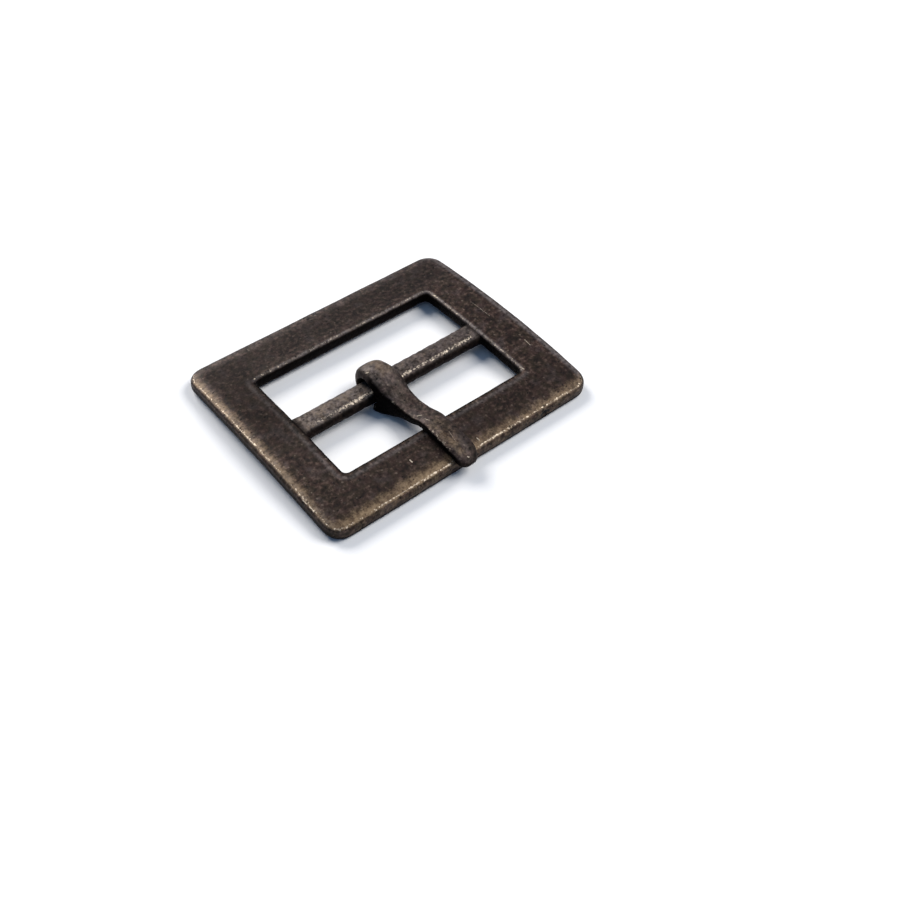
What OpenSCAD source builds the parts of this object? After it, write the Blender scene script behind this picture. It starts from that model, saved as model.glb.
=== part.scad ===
/* [Frame] */
// Inner length of the window, the width of the strap
strap_w = 25; // [20:0.5:32]
// Depth of the window, front to back
window_d = 17.6; // [16:0.1:19]
// Width of the left and right rails
side_w = 5.6; // [4:0.1:7]
// Width of the front and back rails
end_w = 6.1; // [5.5:0.1:6.7]
// How far the window sits towards the front
window_shift = 0.15; // [0:0.05:0.3]
// Thickness of the rails at the flat of their top
rail_t = 1.72; // [1.5:0.01:1.76]
// Rise of the side rails in the middle of the arch
arch_h = 0.7; // [0.3:0.05:0.8]
// Bulge of the left and right edges in the middle
side_bulge = 0.12; // [0:0.01:0.3]
// Radius of the outer corners
corner_r = 2.1; // [1.6:0.1:4]
// Radius of the window's corners
window_r = 0.6; // [0.3:0.1:1.5]

/* [Centre bar] */
// Width of the bar, front to back
bar_w = 3.05; // [2.6:0.05:3.1]
// Height of the bar
bar_h = 1.5; // [1.2:0.05:1.6]
// Height of the bar's centre above the rest plane
bar_z = 1.55; // [1.5:0.01:1.6]
// How far the bar's centre sits towards the front
bar_shift = 0.35; // [0.2:0.05:0.5]

/* [Prong] */
// Place of the prong along the bar
prong_x = -1.15; // [-6:0.05:6]
// How far the loose prong's tip leans to the right of its eye
tip_lean = 0.35; // [0:0.05:0.6]
// Outer diameter of the eye
eye_d = 6.0; // [5.9:0.05:6.2]
// Diameter of the hole through the eye
hole_d = 3.22; // [3.2:0.01:3.4]
// How far the tip reaches past the front rail
tip_over = 1.0; // [1.0:0.1:1.5]
// Height of the open underside of the hook above the rest plane
hook_z = 0.1; // [0.05:0.01:0.3]

/* [Hidden] */
$fn = 96;
// Half length of the cut for the hole, longer than the eye
eye_half = 4;
bronze = [0.30, 0.25, 0.20];
brass = [0.42, 0.35, 0.26];
// Outer half sizes of the frame and half sizes of its window
half_l = strap_w / 2 + side_w;
half_d = window_d / 2 + end_w;
win_l = strap_w / 2;
win_d = window_d / 2;
// The whole part is centred on the origin, so the frame sits back by half the tip's reach
frame_y = tip_over / 2;
bar_y = frame_y - bar_shift;
// Reach of the prong from the bar's middle to its tip
prong_reach = half_d + tip_over - bar_shift;
// Steps round each corner and along each arched side
corner_n = 6;
side_n = 8;
// How far in from its edge a rail stands on the rest plane
foot_inset = 0.50;
// Section of a rail. Columns: 0 outer edge or 1 window edge, inset from that edge, height
rail_section = [
    [0, foot_inset, 0.00],
    [0, 0.15, 0.14],
    [0, 0.00, 0.48],
    [0, 0.00, 1.10],
    [0, 0.10, 1.36],
    [0, 0.33, 1.54],
    [0, 1.20, rail_t],
    [1, 0.45, rail_t],
    [1, 0.12, rail_t - 0.12],
    [1, 0.00, rail_t - 0.40],
    [1, 0.00, 0.42],
    [1, 0.14, 0.12],
    [1, 0.45, 0.00]
];
// Half section of the bar. Columns: half width and height, as parts of the bar's own
bar_section = [
    [0.78, -1.0],
    [0.96, -0.62],
    [1.00, -0.20],
    [1.00, 0.10],
    [0.92, 0.50],
    [0.60, 0.94],
    [0.30, 1.0]
];
// Sections of the eye from its back to the bar. Columns: distance ahead of the bar,
// half width, share of the eye's form, how far the section sits to the left
eye_rows = [
    [-2.94, 1.12, 0.0, 0.42],
    [-2.76, 1.30, 0.0, 0.44],
    [-2.25, 1.57, 0.2, 0.46],
    [-1.56, 1.90, 0.4, 0.44],
    [-0.78, 2.10, 0.7, 0.26],
    [0.00, 2.32, 0.9, 0.08]
];
// Sections of the shank from the eye to the tip. Columns: distance ahead of the bar,
// half width, underside height, top height, share of the eye's form
shank_rows = [
    [0.80, 2.54, hook_z, 4.36, 1.0],
    [1.60, 2.46, hook_z, 4.00, 1.0],
    [2.40, 2.22, 0.16, 3.54, 1.0],
    [3.20, 1.94, 0.28, 3.08, 0.8],
    [4.10, 1.68, 0.50, 2.72, 0.5],
    [5.00, 1.50, 0.86, 2.54, 0.2],
    [6.00, 1.42, 1.16, 2.56, 0.0],
    [7.00, 1.41, 1.44, 2.72, 0.0],
    [7.80, 1.40, 1.86, 3.00, 0.0],
    [8.50, 1.42, 2.26, 3.26, 0.0],
    [9.60, 1.44, 2.20, 3.40, 0.0],
    [11.60, 1.50, 2.08, 3.26, 0.0],
    [13.30, 1.50, 1.94, 2.98, 0.0],
    [14.10, 1.46, 1.80, 2.78, 0.0],
    [14.62, 1.36, 1.22, 2.60, 0.0],
    [15.05, 1.14, 1.12, 2.36, 0.0],
    [15.38, 0.84, 1.18, 2.08, 0.0],
    [15.55, 0.46, 1.38, 1.80, 0.0]
];
// Stretch that brings the last section to the tip
stretch = prong_reach / shank_rows[len(shank_rows) - 1][0];
// Half outlines of a prong section. Columns: part of the half width, part of the height
flat_section = [
    [0.40, 0.00],
    [0.82, 0.06],
    [1.00, 0.28],
    [1.00, 0.60],
    [0.94, 0.82],
    [0.80, 0.94],
    [0.44, 1.00]
];
round_section = [
    [0.80, 0.00],
    [0.98, 0.03],
    [1.00, 0.12],
    [0.94, 0.32],
    [0.81, 0.57],
    [0.60, 0.82],
    [0.26, 0.98]
];
// Left half of the rounded form: an upright wall that ends in a crisp ridge
ridge_section = [
    [0.80, 0.00],
    [0.98, 0.03],
    [1.00, 0.12],
    [0.97, 0.42],
    [0.93, 0.70],
    [0.84, 0.90],
    [0.46, 0.99]
];

// Height that the arch adds at a distance front to back from the frame's middle
function arch(y) = arch_h * (1 - pow(y / (half_d - foot_inset), 2));

// Quarter arc of a corner, from one angle through ninety degrees
function corner_arc(cx, cy, r, start) =
    [for (i = [0 : corner_n]) let (a = start + 90 * i / corner_n) [cx + r * cos(a), cy + r * sin(a)]];

// Points between two ends of a straight side, without the ends
function side_points(x, y0, y1) = [for (i = [1 : side_n - 1]) [x, y0 + (y1 - y0) * i / side_n]];

// Rounded rectangle with the same number of points at every size
function outline(hx, hy, cy, r) = concat(
    corner_arc(hx - r, cy - hy + r, r, -90),
    side_points(hx, cy - hy + r, cy + hy - r),
    corner_arc(hx - r, cy + hy - r, r, 0),
    corner_arc(-hx + r, cy + hy - r, r, 90),
    side_points(-hx, cy + hy - r, cy - hy + r),
    corner_arc(-hx + r, cy - hy + r, r, 180)
);

// One closed line along the rails for a row of the section
function rail_loop(row) =
    let (inset = row[1])
    row[0] == 0
        ? [for (p = outline(half_l - inset, half_d - inset, 0, corner_r - inset))
            [p[0] * (1 + side_bulge / half_l * (1 - pow(p[1] / half_d, 2))), p[1], row[2] + arch(p[1])]]
        : [for (p = outline(win_l + inset, win_d + inset, -window_shift, window_r + inset))
            [p[0], p[1], row[2] + arch(p[1])]];

// Faces of a tube of quads, each split in two, closed round both ways
function ring_faces(rows, cols) = [
    for (j = [0 : rows - 1]) for (i = [0 : cols - 1])
    let (a = j * cols + i, b = j * cols + (i + 1) % cols)
    let (c = (j + 1) % rows * cols + (i + 1) % cols, d = (j + 1) % rows * cols + i)
    for (f = [[a, c, b], [a, d, c]]) f
];

// Faces of an open tube of quads with both ends capped
function tube_faces(rows, cols) = concat(
    [for (j = [0 : rows - 2]) for (i = [0 : cols - 1])
        let (a = j * cols + i, b = j * cols + (i + 1) % cols)
        let (c = (j + 1) * cols + (i + 1) % cols, d = (j + 1) * cols + i)
        for (f = [[a, c, b], [a, d, c]]) f],
    [[for (i = [0 : cols - 1]) i]],
    [[for (i = [cols - 1 : -1 : 0]) (rows - 1) * cols + i]]
);

// The arched ring of four rails
module rails() {
    loops = [for (row = rail_section) rail_loop(row)];
    points = [for (loop = loops) for (p = loop) p];
    translate([0, frame_y, 0]) {
        polyhedron(points, ring_faces(len(loops), len(loops[0])), convexity = 6);
    }
}

// The bar across the middle, with shoulders and a low dome on top
module centre_bar() {
    right = [for (p = bar_section) [p[0] * bar_w / 2, p[1] * bar_h / 2]];
    left = [for (i = [len(right) - 1 : -1 : 0]) [-right[i][0], right[i][1]]];
    reach = win_l + side_w / 3;
    translate([-reach, bar_y, bar_z]) {
        rotate([90, 0, 90]) linear_extrude(2 * reach) polygon(concat(right, left));
    }
}

// The frame is one casting: four rails and the bar
module frame() {
    color(bronze) {
        rails();
        centre_bar();
    }
}

// Half height of the round eye at a distance ahead of the bar
function eye_rise(d) = sqrt(pow(eye_d / 2, 2) - d * d);

// Row of the eye in full, flat underneath where the hook is open
function eye_row(row) =
    let (rise = eye_rise(row[0]))
    [row[0], row[1], max(hook_z, bar_z - rise), bar_z + rise, row[2], -row[3]];

// Row of the shank in full, stretched to the reach and leaning to the right
function shank_row(row) = [row[0] * stretch, row[1], row[2], row[3], row[4], tip_lean * row[0] / prong_reach];

// Half outline of a section between the flat form and another one
function mixed_section(form, share) =
    [for (i = [0 : len(flat_section) - 1]) flat_section[i] * (1 - share) + form[i] * share];

// Outline of a prong section, all the way round
function prong_outline(row) =
    let (half = row[1], low = row[2], rise = row[3] - row[2], side = row[5])
    let (right = mixed_section(round_section, row[4]), left = mixed_section(ridge_section, row[4]))
    concat(
        [for (p = right) [side + p[0] * half, -row[0], low + p[1] * rise]],
        [for (i = [len(left) - 1 : -1 : 0]) [side - left[i][0] * half, -row[0], low + left[i][1] * rise]]
    );

// The solid form of the prong, from the back of the eye to the blunt tip
module prong_body() {
    rows = concat([for (row = eye_rows) eye_row(row)], [for (row = shank_rows) shank_row(row)]);
    loops = [for (row = rows) prong_outline(row)];
    points = [for (loop = loops) for (p = loop) p];
    polyhedron(points, tube_faces(len(loops), len(loops[0])), convexity = 4);
}

// The prong is one casting: a hook open underneath and a tongue
module prong() {
    color(brass) translate([prong_x, bar_y, 0]) difference() {
        prong_body();
        translate([-eye_half, 0, bar_z]) rotate([0, 90, 0]) cylinder(d = hole_d, h = 2 * eye_half);
    }
}

frame();
prong();
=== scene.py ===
"""Center bar buckle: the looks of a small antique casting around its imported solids."""
import logging
import math
from dataclasses import dataclass, fields, replace
from enum import Enum

import bmesh
import bpy
from mathutils import Matrix, Vector, noise
from mathutils.bvhtree import BVHTree


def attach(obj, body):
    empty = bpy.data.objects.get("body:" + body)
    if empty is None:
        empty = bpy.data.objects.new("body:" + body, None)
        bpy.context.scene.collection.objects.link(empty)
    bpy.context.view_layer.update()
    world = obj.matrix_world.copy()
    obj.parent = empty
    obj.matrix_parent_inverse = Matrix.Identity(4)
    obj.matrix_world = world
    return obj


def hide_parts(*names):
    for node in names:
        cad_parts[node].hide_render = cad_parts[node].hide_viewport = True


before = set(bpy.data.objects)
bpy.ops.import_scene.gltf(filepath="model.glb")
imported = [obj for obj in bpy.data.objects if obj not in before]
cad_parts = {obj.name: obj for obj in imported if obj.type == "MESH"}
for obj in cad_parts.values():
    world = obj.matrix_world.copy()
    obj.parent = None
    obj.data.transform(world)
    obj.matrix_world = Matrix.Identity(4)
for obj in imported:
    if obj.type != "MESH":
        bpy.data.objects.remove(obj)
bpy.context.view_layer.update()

# One mm in metres
MM = 0.001
# Distance in mm at which points of a mesh count as one
MERGE = 0.001
# Height in metres that lies above every casting
ABOVE = 0.02
# How far a seed moves a noise along each axis
SEED_SPREAD = (1.0, 1.7, 0.3)
# Width of the photo in pixels
PHOTO_SIZE = 900
Point = tuple[float, ...]
Colour = tuple[float, float, float, float]
Limits = tuple[float, float]
logging.basicConfig(level=logging.INFO, format="%(message)s")
log = logging.getLogger("buckle")


class Edge(Enum):
    """Which edge of a rail a row of its section is measured from."""

    OUTER = 0
    WINDOW = 1


class Socket(Enum):
    """The kinds of socket that the node groups take and give."""

    VALUE = "NodeSocketFloat"
    PLACE = "NodeSocketVector"


class Join(Enum):
    """How two castings are made one."""

    ADD = "UNION"
    CUT = "DIFFERENCE"


@dataclass(frozen=True)
class RailRow:
    """One line of a rail's section: the edge it is measured from, its inset and its height in mm."""

    edge: Edge
    inset: float
    height: float


@dataclass(frozen=True)
class ProngRow:
    """One section of the prong, in mm: place, half width, underside, top, form and side shift."""

    ahead: float
    half: float
    low: float
    high: float
    form: float
    side: float


@dataclass(frozen=True)
class WearAndPaintedLight:
    """How worn the finish is at one point, with the light and shade that are painted into it, each part from
    0 to 1.
    """

    # Warm rubbed brass; on the frame's front and left edges and front wall it is made stronger as painted
    # highlight and light
    rub: float = 0.0
    # Bright spots: worn metal, and painted highlights along crests and rims
    bare_and_highlight: float = 0.0
    # Darkening: patina, and painted shade on walls, feet, undersides and in the hole
    patina_and_shade: float = 0.0
    # Pale grey: painted sheen and reflection on tops, bevels and rims
    pale: float = 0.0

    @classmethod
    def strongest(cls, *wears: "WearAndPaintedLight") -> "WearAndPaintedLight":
        """Return the strongest of each part over several wears."""
        return cls(*(max(getattr(wear, layer.name) for wear in wears) for layer in fields(cls)))


def placed(name: str, data: bpy.types.ID) -> bpy.types.Object:
    """Return a new object in the scene that shows a mesh, a lamp or a camera."""
    made = bpy.data.objects.new(name, data)
    bpy.context.scene.collection.objects.link(made)
    return made


def ramp(value: float, low: float, high: float) -> float:
    """Return a smooth step from 0 at the low limit to 1 at the high one, either way round."""
    share = max(0.0, min(1.0, (value - low) / (high - low)))
    return share * share * (3 - 2 * share)


def ridge(value: float, middle: float, reach: float) -> float:
    """Return 1 at the middle, falling smoothly to 0 at the reach on both sides."""
    return ramp(abs(value - middle), reach, 0.0)


def between(limits: Limits, share: float) -> float:
    """Return the value at a share of the way from the first limit to the second."""
    return limits[0] + (limits[1] - limits[0]) * share


@dataclass(frozen=True)
class Slope:
    """A smooth rise from nothing at one value to full strength at another, either way round."""

    none: float
    full: float
    strength: float = 1.0


@dataclass(frozen=True)
class Noise:
    """A noise pattern: its features a mm, its detail and its roughness."""

    scale: float
    detail: float
    rough: float


def srgb(red: int, green: int, blue: int) -> Colour:
    """Turn a screen colour, 0 to 255, into the linear one that a shader takes, by the sRGB rule."""
    parts = [value / 255.0 for value in (red, green, blue)]
    parts = [part / 12.92 if part <= 0.04045 else ((part + 0.055) / 1.055) ** 2.4 for part in parts]
    return (*parts, 1.0)


class Graph:
    """A node tree with short calls that add a node and wire it."""

    def __init__(self, tree: bpy.types.NodeTree) -> None:
        """Keep the tree that the calls add to."""
        self.tree = tree

    def node(self, kind: str, wires: dict | None = None, **settings: object) -> bpy.types.Node:
        """Add one node.

        Args:
            kind: Blender's name of the node type.
            wires: Values or sockets for its inputs, by name or index.
            settings: Properties set on the node first.

        Returns:
            The new node.
        """
        made = self.tree.nodes.new(kind)
        for name, value in settings.items():
            setattr(made, name, value)
        for key, value in (wires or {}).items():
            if isinstance(value, bpy.types.NodeSocket):
                self.tree.links.new(value, made.inputs[key])
            else:
                made.inputs[key].default_value = value
        return made

    def feed(self, node: bpy.types.Node, **values: bpy.types.NodeSocket) -> None:
        """Wire sockets into a node's inputs by name."""
        for label, value in values.items():
            self.tree.links.new(value, node.inputs[label])

    def math(self, operation: str, *values: object, clamp: bool = False) -> bpy.types.NodeSocket:
        """Return the result of one Math node on values or sockets."""
        wires = dict(enumerate(values))
        return self.node("ShaderNodeMath", wires, operation=operation, use_clamp=clamp).outputs[0]

    def total(self, start: object, *parts: tuple[object, float]) -> bpy.types.NodeSocket:
        """Return a start value plus others, each times its weight."""
        for value, weight in parts:
            start = self.math("MULTIPLY_ADD", value, weight, start)
        return start

    def vector(self, operation: str, wires: dict) -> bpy.types.Node:
        """Add one Vector Math node."""
        return self.node("ShaderNodeVectorMath", wires, operation=operation)

    def step(self, value: object, slope: Slope) -> bpy.types.NodeSocket:
        """Return a slope's strength at a value."""
        wires = {"Value": value, "From Min": slope.none, "From Max": slope.full, "To Max": slope.strength}
        return self.node("ShaderNodeMapRange", wires, interpolation_type="SMOOTHSTEP").outputs["Result"]

    def mix(self, share: object, first: object, second: object) -> bpy.types.NodeSocket:
        """Return a mix of two colours."""
        return self.node("ShaderNodeMix", {0: share, 6: first, 7: second}, data_type="RGBA").outputs[2]

    def noise(self, place: object, form: Noise) -> bpy.types.NodeSocket:
        """Return a noise value, 0 to 1, at a place given in mm."""
        wires = {"Vector": place, "Scale": form.scale, "Detail": form.detail, "Roughness": form.rough}
        return self.node("ShaderNodeTexNoise", wires).outputs["Fac"]

    def swing(self, place: object, form: Noise) -> bpy.types.NodeSocket:
        """Return a noise value that swings about zero."""
        return self.math("SUBTRACT", self.noise(place, form), 0.5)


@dataclass
class SurfaceGroups:
    """The shader node groups that both finishes share, with the weights of their patterns."""

    cell_scale: float = 2.1
    speckle_height: float = 0.5
    wave_height: float = 0.9
    speck_height: float = 0.35
    pit_height: float = -0.8
    warm_wide: float = 0.9
    warm_tight: float = 0.8
    bright_patches: float = 1.1
    bright_tight: float = 3.2
    tear_share: float = 3.2

    def __post_init__(self) -> None:
        """Build each group once."""
        self.grain_tree = self._grain()
        self.rubbing_and_highlight_tree = self._rubbing_and_highlight()
        self.mark_tree = self._mark()

    @staticmethod
    def _group(
        name: str, inputs: dict[str, Socket], outputs: tuple[str, ...],
    ) -> tuple[Graph, dict, bpy.types.Node]:
        """Start a group with named sockets.

        Args:
            name: The group's name.
            inputs: Kinds of the inputs by name.
            outputs: Names of the outputs, all plain values.

        Returns:
            The graph, the input sockets by name and the output node.
        """
        tree = bpy.data.node_groups.new(name, "ShaderNodeTree")
        for label, kind in inputs.items():
            tree.interface.new_socket(label, in_out="INPUT", socket_type=kind.value)
        for label in outputs:
            tree.interface.new_socket(label, in_out="OUTPUT", socket_type=Socket.VALUE.value)
        graph = Graph(tree)
        source = graph.node("NodeGroupInput")
        sink = graph.node("NodeGroupOutput")
        return graph, {label: source.outputs[label] for label in inputs}, sink

    def _grain(self) -> bpy.types.NodeTree:
        """Cast grain: crisp speckle, slow mottling, light specks, dark pits and their height.

        Returns:
            The node group.
        """
        outputs = ("Speckle", "Mottle", "Hue", "Specks", "Pits", "Height")
        graph, given, sink = self._group("cast_grain", {"Place": Socket.PLACE}, outputs)
        place = given["Place"]
        fine = graph.noise(place, Noise(2.0, 4.0, 0.66))
        mottle = graph.noise(place, Noise(0.5, 5.0, 0.66))
        hue = graph.noise(place, Noise(1.1, 3.0, 0.62))
        wires = {"Vector": place, "Scale": self.cell_scale, "Randomness": 1.0}
        cells = graph.node("ShaderNodeTexVoronoi", wires)
        parts = graph.node("ShaderNodeSeparateColor", {"Color": cells.outputs["Color"]})
        spots = graph.step(cells.outputs["Distance"], Slope(0.34, 0.16))
        specks = graph.math("MULTIPLY", spots, graph.step(parts.outputs[0], Slope(0.86, 0.90)))
        pits = graph.math("MULTIPLY", spots, graph.step(parts.outputs[1], Slope(0.84, 0.88)))
        waves = graph.noise(place, Noise(1.9, 2.0, 0.5))
        height = graph.total(
            0.0, (fine, self.speckle_height), (waves, self.wave_height),
            (specks, self.speck_height), (pits, self.pit_height),
        )
        graph.feed(sink, Speckle=fine, Mottle=mottle, Hue=hue, Specks=specks, Pits=pits, Height=height)
        return graph.tree

    def _rubbing_and_highlight(self) -> bpy.types.NodeTree:
        """Wear that breaks up along its edge: a warm zone, and bright spots that stand for worn metal and for
        painted highlights.

        Returns:
            The node group.
        """
        inputs = {"Place": Socket.PLACE, "Rub": Socket.VALUE, "BareAndHighlight": Socket.VALUE}
        graph, given, sink = self._group("rubbed_edge_and_highlight", inputs, ("Warm", "Bright"))
        place, rub, bare_and_highlight = given["Place"], given["Rub"], given["BareAndHighlight"]
        wide = graph.swing(place, Noise(0.9, 4.0, 0.60))
        tight = graph.swing(place, Noise(4.2, 3.0, 0.70))
        warm = graph.total(rub, (wide, self.warm_wide), (tight, self.warm_tight))
        zone = graph.step(warm, Slope(0.15, 1.15))
        warm = graph.math("MULTIPLY", zone, graph.step(rub, Slope(0.02, 0.3)))
        patches = graph.swing(place, Noise(0.42, 2.0, 0.5))
        # Bright spots: worn metal, and the painted highlights of crests and rims
        bright = graph.total(bare_and_highlight, (patches, self.bright_patches), (tight, self.bright_tight))
        spots = graph.step(bright, Slope(0.65, 1.2))
        bright = graph.math("MULTIPLY", spots, graph.step(bare_and_highlight, Slope(0.1, 0.5)))
        graph.feed(sink, Warm=warm, Bright=bright)
        return graph.tree

    def _mark(self) -> bpy.types.NodeTree:
        """A short line from one point to another, drawn for scratches, nicks and painted highlights.

        Returns:
            The node group.
        """
        inputs = {"Place": Socket.PLACE, "From": Socket.PLACE, "To": Socket.PLACE, "Width": Socket.VALUE}
        graph, given, sink = self._group("scratch_and_highlight_mark", inputs, ("Mask",))
        along = graph.vector("SUBTRACT", {0: given["To"], 1: given["From"]}).outputs[0]
        away = graph.vector("SUBTRACT", {0: given["Place"], 1: given["From"]}).outputs[0]
        reach = graph.vector("DOT_PRODUCT", {0: away, 1: along}).outputs["Value"]
        square = graph.vector("DOT_PRODUCT", {0: along, 1: along}).outputs["Value"]
        share = graph.math("DIVIDE", reach, square, clamp=True)
        near = graph.vector("SCALE", {0: along, "Scale": share}).outputs[0]
        off = graph.vector("SUBTRACT", {0: away, 1: near}).outputs[0]
        gap = graph.vector("LENGTH", {0: off}).outputs["Value"]
        torn = graph.math("MULTIPLY", given["Width"], self.tear_share)
        torn = graph.math("MULTIPLY", graph.swing(given["Place"], Noise(4.5, 3.0, 0.65)), torn)
        inside = graph.math("SUBTRACT", given["Width"], graph.math("ADD", gap, torn))
        graph.feed(sink, Mask=graph.step(inside, Slope(0.0, 0.07)))
        return graph.tree


@dataclass(frozen=True)
class Mark:
    """A bright or dark mark between two points in mm, dropped onto the surface from above."""

    start: Point
    end: Point
    width: float
    strength: float = 0.8
    dark: bool = False


@dataclass(frozen=True)
class Dent:
    """A small flaw in a casting: its place, radius and depth in mm."""

    place: Point
    radius: float
    depth: float


@dataclass(frozen=True)
class Hammering:
    """An unevenness of a casting: size of its waves and largest move in mm, and its seed."""

    size: float
    reach: float
    seed: float


@dataclass(frozen=True)
class AntiqueFinish:
    """Dark antique plating, rubbed through to warm brass where hands and straps wear it, with painted shade,
    highlights and sheen laid on through the wear layers.
    """

    name: str
    umber: Colour = srgb(54, 39, 34)
    olive: Colour = srgb(50, 40, 31)
    slate: Colour = srgb(62, 55, 56)
    # Near black for pits, patina and dark marks, and for painted shade
    soot_and_shade: Colour = srgb(10, 7, 7)
    rust: Colour = srgb(101, 82, 73)
    dust: Colour = srgb(150, 134, 120)
    brown: Colour = srgb(90, 72, 56)
    warm: Colour = srgb(137, 117, 92)
    # Grey of the painted sheen and reflection
    sheen_grey: Colour = srgb(120, 114, 113)
    # Worn metal, and painted highlights
    bright: Colour = srgb(226, 210, 188)
    dust_share: float = 0.25
    worn_share: float = 0.9
    # Strength of the darkening: patina and painted shade
    patina_and_shade_share: float = 0.95
    pit_share: float = 0.75
    shine_share: float = 0.85
    metallic: float = 0.26
    roughness: float = 0.37
    grain_roughness: float = 0.2
    shine_roughness: float = -0.1
    deep_roughness: float = 0.3
    gloss: float = 0.13
    bump_mm: float = 0.06
    marks: tuple[Mark, ...] = ()

    def material(self, groups: SurfaceGroups) -> bpy.types.Material:
        """Build the finish as a material.

        Args:
            groups: The shared shader node groups.

        Returns:
            The material.
        """
        made = bpy.data.materials.new(self.name)
        made.use_nodes = True
        made.node_tree.nodes.clear()
        graph = Graph(made.node_tree)
        coords = graph.node("ShaderNodeTexCoord").outputs["Object"]
        to_mm = {"Vector": coords, "Scale": (1 / MM,) * 3}
        at = graph.node("ShaderNodeMapping", to_mm, vector_type="POINT").outputs[0]
        rub, bare_and_highlight, patina_and_shade, pale = (
            graph.node("ShaderNodeAttribute", attribute_name=layer.name).outputs["Fac"]
            for layer in fields(WearAndPaintedLight)
        )
        grain = graph.node("ShaderNodeGroup", {"Place": at}, node_tree=groups.grain_tree).outputs
        rubbing_and_highlight = graph.node(
            "ShaderNodeGroup", {"Place": at, "Rub": rub, "BareAndHighlight": bare_and_highlight}, node_tree=groups.rubbing_and_highlight_tree,
        ).outputs

        base = self.plating(graph, grain)
        # Painted grey sheen on tops, bevels and rims, broken by the grain
        sheen_mask = graph.math("MULTIPLY", pale, graph.step(grain["Speckle"], Slope(0.22, 0.66)))
        base = graph.mix(sheen_mask, base, self.sheen_grey)
        worn = graph.mix(graph.step(grain["Speckle"], Slope(0.32, 0.62)), self.brown, self.warm)
        # Warm worn brass, laid stronger on the front and left edges as painted highlight
        base = graph.mix(graph.math("MULTIPLY", rubbing_and_highlight["Warm"], self.worn_share), base, worn)
        # Patina and painted shade: walls, feet, undersides, the hole
        base = graph.mix(graph.math("MULTIPLY", patina_and_shade, self.patina_and_shade_share), base, self.soot_and_shade)
        base = graph.mix(graph.math("MULTIPLY", grain["Pits"], self.pit_share), base, self.soot_and_shade)
        # Bright spots and lines: worn metal and painted highlights
        shine = graph.math("MULTIPLY", rubbing_and_highlight["Bright"], self.shine_share)
        for mark in self.marks:
            wires = {"Place": at, "From": mark.start, "To": mark.end, "Width": mark.width}
            drawn = graph.node("ShaderNodeGroup", wires, node_tree=groups.mark_tree)
            share = graph.math("MULTIPLY", drawn.outputs["Mask"], mark.strength)
            if mark.dark:
                base = graph.mix(share, base, self.soot_and_shade)
            else:
                shine = graph.math("MAXIMUM", shine, share)
        base = graph.mix(shine, base, self.bright)
        rough = graph.total(
            self.roughness, (grain["Speckle"], self.grain_roughness),
            (shine, self.shine_roughness), (patina_and_shade, self.deep_roughness),
        )
        metal = graph.math("MAXIMUM", self.metallic, patina_and_shade)
        bump = graph.node(
            "ShaderNodeBump", {"Strength": 1.0, "Distance": self.bump_mm * MM, "Height": grain["Height"]},
        )
        shader = graph.node(
            "ShaderNodeBsdfPrincipled",
            {"Base Color": base, "Roughness": rough, "Metallic": metal, "Specular IOR Level": self.gloss,
             "Normal": bump.outputs[0]},
        )
        graph.node("ShaderNodeOutputMaterial", {"Surface": shader.outputs[0]})
        return made

    def plating(self, graph: Graph, grain: bpy.types.NodeOutputs) -> bpy.types.NodeSocket:
        """Colour the plating where nothing has worn it.

        Args:
            graph: The material's graph.
            grain: The outputs of the grain group's node in it.

        Returns:
            The colour.
        """
        base = graph.mix(graph.step(grain["Hue"], Slope(0.40, 0.60)), self.umber, self.olive)
        for output, slope, colour in (
            ("Mottle", Slope(0.50, 0.66, 0.55), self.slate),
            ("Mottle", Slope(0.52, 0.36, 0.5), self.soot_and_shade),
            ("Speckle", Slope(0.50, 0.33, 0.65), self.soot_and_shade),
            ("Speckle", Slope(0.51, 0.69, 0.6), self.rust),
        ):
            base = graph.mix(graph.step(grain[output], slope), base, colour)
        return graph.mix(graph.math("MULTIPLY", grain["Specks"], self.dust_share), base, self.dust)


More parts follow.
